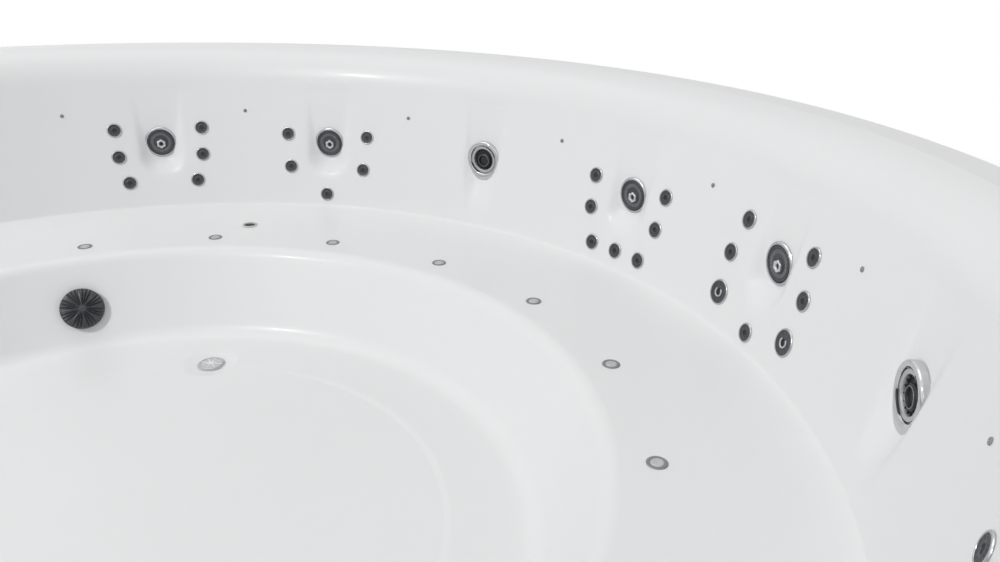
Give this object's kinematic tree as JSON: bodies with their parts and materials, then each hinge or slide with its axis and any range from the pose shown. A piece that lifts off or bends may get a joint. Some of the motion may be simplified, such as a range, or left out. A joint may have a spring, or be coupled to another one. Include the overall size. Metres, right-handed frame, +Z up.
{
  "type": "hot tub",
  "caption": "Round sunken-seat hot tub: one moulded shell with a ring seat and footwell, wall jets in recesses, plumbing, equipment and a panelled cabinet with a door.",
  "frame": {"origin": "on the ground, at the centre of the tub", "axes": "+Z up; -Y towards the entry side, the one bathing position without jets; +X towards the access door and the keypad"},
  "size_m": [3.676, 3.676, 0.96],
  "materials": {
    "shell": "glossy white moulded acrylic",
    "dark_plastic": "satin dark grey",
    "chrome": "bright polished",
    "steel": "fine brushed",
    "pipe": "plain moulded pipe, with stainless rings on the jets",
    "lamp": "small grey lenses",
    "injector": "silver caps on plain pipe",
    "handle": "satin red",
    "equipment": "satin charcoal",
    "timber": "planed softwood",
    "panel": "satin off-white cladding",
    "base": "sealed board"
  },
  "bodies": {
    "tub": {"shell": "shell", "water_ring": "pipe", "lamp_ring": "lamp", "air_ring": "injector", "suction_pipe": "pipe", "suction_cover_front": "dark_plastic", "suction_cover_rear": "dark_plastic", "drain_pipe": "pipe", "drain_cover": "steel", "return_pipe": "pipe", "heater": "steel", "filter_canister": "equipment", "air_blower": "equipment", "jet_pump": "equipment", "control_box": "equipment", "keypad": "dark_plastic", "base": "base", "frame": "timber", "cabinet_panel_1": "panel", "cabinet_panel_2": "panel", "cabinet_panel_3": "panel", "cabinet_panel_4": "panel", "cabinet_panel_5": "panel", "jet_group_01": "pipe", "jet_group_02": "pipe", "jet_group_03": "pipe", "jet_group_04": "pipe", "jet_group_05": "pipe", "jet_group_06": "pipe", "jet_group_07": "pipe", "jet_group_08": "pipe", "jet_group_09": "pipe", "jet_group_10": "pipe", "jet_group_11": "pipe", "jet_group_12": "pipe", "jet_group_13": "pipe", "jet_group_14": "pipe", "jet_group_15": "pipe"},
    "jet_face_01": {"jet_face_01": "dark_plastic"},
    "jet_face_02": {"jet_face_02": "dark_plastic"},
    "jet_face_03": {"jet_face_03": "chrome"},
    "jet_face_04": {"jet_face_04": "dark_plastic"},
    "jet_face_05": {"jet_face_05": "dark_plastic"},
    "jet_face_06": {"jet_face_06": "chrome"},
    "jet_face_07": {"jet_face_07": "dark_plastic"},
    "jet_face_08": {"jet_face_08": "dark_plastic"},
    "jet_face_09": {"jet_face_09": "chrome"},
    "jet_face_10": {"jet_face_10": "dark_plastic"},
    "jet_face_11": {"jet_face_11": "dark_plastic"},
    "jet_face_12": {"jet_face_12": "chrome"},
    "jet_face_13": {"jet_face_13": "dark_plastic"},
    "jet_face_14": {"jet_face_14": "dark_plastic"},
    "jet_face_15": {"jet_face_15": "chrome"},
    "access_door": {"access_door": "panel"},
    "drain_handle": {"drain_handle": "handle"},
    "filter_lid": {"filter_lid": "dark_plastic"},
    "pump_impeller": {"pump_impeller": "dark_plastic"},
    "keypad_button_1": {"keypad_button_1": "steel"},
    "keypad_button_2": {"keypad_button_2": "steel"},
    "keypad_button_3": {"keypad_button_3": "steel"}
  },
  "joints": [
    {"name": "jet_face_01_turn", "type": "hinge", "parent": "tub", "child": "jet_face_01", "pos_m": [-0.61115, -1.47544, 0.6255], "axis": [0.3827, 0.9239, 0], "range_deg": [0, 120]},
    {"name": "jet_face_02_turn", "type": "hinge", "parent": "tub", "child": "jet_face_02", "pos_m": [-1.12925, -1.12925, 0.6255], "axis": [0.7071, 0.7071, 0], "range_deg": [0, 120]},
    {"name": "jet_face_03_turn", "type": "hinge", "parent": "tub", "child": "jet_face_03", "pos_m": [-1.47544, -0.61115, 0.6255], "axis": [0.9239, 0.3827, 0], "range_deg": [0, 180]},
    {"name": "jet_face_04_turn", "type": "hinge", "parent": "tub", "child": "jet_face_04", "pos_m": [-1.597, 0, 0.6255], "axis": [1, 0, 0], "range_deg": [0, 120]},
    {"name": "jet_face_05_turn", "type": "hinge", "parent": "tub", "child": "jet_face_05", "pos_m": [-1.47544, 0.61115, 0.6255], "axis": [0.9239, -0.3827, 0], "range_deg": [0, 120]},
    {"name": "jet_face_06_turn", "type": "hinge", "parent": "tub", "child": "jet_face_06", "pos_m": [-1.12925, 1.12925, 0.6255], "axis": [0.7071, -0.7071, 0], "range_deg": [0, 180]},
    {"name": "jet_face_07_turn", "type": "hinge", "parent": "tub", "child": "jet_face_07", "pos_m": [-0.61115, 1.47544, 0.6255], "axis": [0.3827, -0.9239, 0], "range_deg": [0, 120]},
    {"name": "jet_face_08_turn", "type": "hinge", "parent": "tub", "child": "jet_face_08", "pos_m": [0, 1.597, 0.6255], "axis": [0, -1, 0], "range_deg": [0, 120]},
    {"name": "jet_face_09_turn", "type": "hinge", "parent": "tub", "child": "jet_face_09", "pos_m": [0.61115, 1.47544, 0.6255], "axis": [-0.3827, -0.9239, 0], "range_deg": [0, 180]},
    {"name": "jet_face_10_turn", "type": "hinge", "parent": "tub", "child": "jet_face_10", "pos_m": [1.12925, 1.12925, 0.6255], "axis": [-0.7071, -0.7071, 0], "range_deg": [0, 120]},
    {"name": "jet_face_11_turn", "type": "hinge", "parent": "tub", "child": "jet_face_11", "pos_m": [1.47544, 0.61115, 0.6255], "axis": [-0.9239, -0.3827, 0], "range_deg": [0, 120]},
    {"name": "jet_face_12_turn", "type": "hinge", "parent": "tub", "child": "jet_face_12", "pos_m": [1.597, 0, 0.6255], "axis": [-1, 0, 0], "range_deg": [0, 180]},
    {"name": "jet_face_13_turn", "type": "hinge", "parent": "tub", "child": "jet_face_13", "pos_m": [1.47544, -0.61115, 0.6255], "axis": [-0.9239, 0.3827, 0], "range_deg": [0, 120]},
    {"name": "jet_face_14_turn", "type": "hinge", "parent": "tub", "child": "jet_face_14", "pos_m": [1.12925, -1.12925, 0.6255], "axis": [-0.7071, 0.7071, 0], "range_deg": [0, 120]},
    {"name": "jet_face_15_turn", "type": "hinge", "parent": "tub", "child": "jet_face_15", "pos_m": [0.61115, -1.47544, 0.6255], "axis": [-0.3827, 0.9239, 0], "range_deg": [0, 180]},
    {"name": "access_door_swing", "type": "hinge", "parent": "tub", "child": "access_door", "pos_m": [1.56445, 0.90324, 0.45], "axis": [0, 0, 1], "range_deg": [0, 100]},
    {"name": "drain_handle_turn", "type": "hinge", "parent": "tub", "child": "drain_handle", "pos_m": [-0.90724, -1.28134, 0.116], "axis": [0, 0, 1], "range_deg": [0, 90]},
    {"name": "filter_lid_turn", "type": "hinge", "parent": "tub", "child": "filter_lid", "pos_m": [1.3352, -0.42099, 0.27], "axis": [0, 0, 1], "range_deg": [0, 45]},
    {"name": "pump_impeller_spin", "type": "hinge", "parent": "tub", "child": "pump_impeller", "pos_m": [1.4, 0, 0.15], "axis": [0, 1, 0], "continuous": true},
    {"name": "keypad_button_1_press", "type": "slide", "parent": "tub", "child": "keypad_button_1", "axis": [0, 0, -1], "range_m": [0, 0.0012], "stiffness_N_per_m": 800, "springref_m": -0.0005},
    {"name": "keypad_button_2_press", "type": "slide", "parent": "tub", "child": "keypad_button_2", "axis": [0, 0, -1], "range_m": [0, 0.0012], "stiffness_N_per_m": 800, "springref_m": -0.0005},
    {"name": "keypad_button_3_press", "type": "slide", "parent": "tub", "child": "keypad_button_3", "axis": [0, 0, -1], "range_m": [0, 0.0012], "stiffness_N_per_m": 800, "springref_m": -0.0005}
  ]
}
